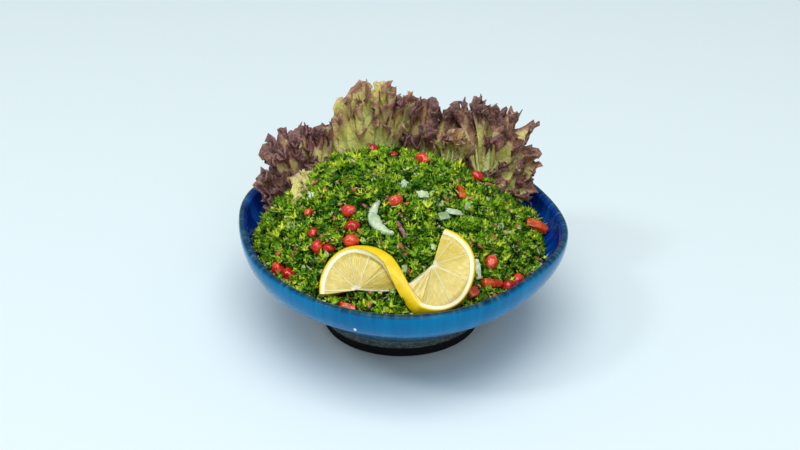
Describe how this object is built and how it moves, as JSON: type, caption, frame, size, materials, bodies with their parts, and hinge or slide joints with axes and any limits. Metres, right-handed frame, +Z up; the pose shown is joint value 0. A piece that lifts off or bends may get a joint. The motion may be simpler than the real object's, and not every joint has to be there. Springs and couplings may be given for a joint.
{
  "type": "tabbouleh salad in bowl",
  "caption": "Chopped herb salad heaped in a wavy-rimmed glazed bowl, with frilly lettuce behind, scattered seeds and a twisted citrus slice in front.",
  "frame": {"origin": "middle of the whole object's box, at the table under the bowl's foot", "axes": "+Z up, -Y towards the front where the lemon twist lies, +X to the right seen from the front"},
  "size_m": [0.2217, 0.2361, 0.138],
  "materials": {
    "glaze": "glossy cobalt to teal glaze over dark stoneware",
    "parsley": "chopped parsley, moist",
    "lemon": "yellow rind, cream pith, juicy flesh",
    "aril": "wet, translucent red",
    "tomato": "wet",
    "onion": "wet, slightly translucent",
    "lettuce": "purple-brown edges, yellow-green centre",
    "cucumber": "wet",
    "stalk": "fibrous",
    "red_onion": "wet"
  },
  "bodies": {
    "root": {"aril_01": "aril", "aril_02": "aril", "aril_03": "aril", "aril_04": "aril", "aril_05": "aril", "aril_06": "aril", "aril_07": "aril", "aril_08": "aril", "aril_09": "aril", "aril_10": "aril", "aril_11": "aril", "aril_12": "aril", "aril_13": "aril", "aril_14": "aril", "aril_15": "aril", "aril_16": "aril", "aril_17": "aril", "bowl": "glaze", "cucumber_chip": "cucumber", "lemon_twist": "lemon", "lettuce_back": "lettuce", "lettuce_curl": "lettuce", "lettuce_left": "lettuce", "lettuce_middle": "lettuce", "lettuce_right": "lettuce", "onion_chip_left": "onion", "onion_chip_middle": "onion", "onion_chip_top": "onion", "onion_crescent": "onion", "onion_strip_front": "onion", "onion_strip_right": "onion", "red_onion_strip": "red_onion", "salad_heap": "parsley", "stalk_bit": "stalk", "tomato_dice_front": "tomato", "tomato_dice_middle": "tomato", "tomato_dice_right": "tomato", "tomato_strip": "tomato", "tomato_wedge": "tomato"}
  },
  "joints": []
}
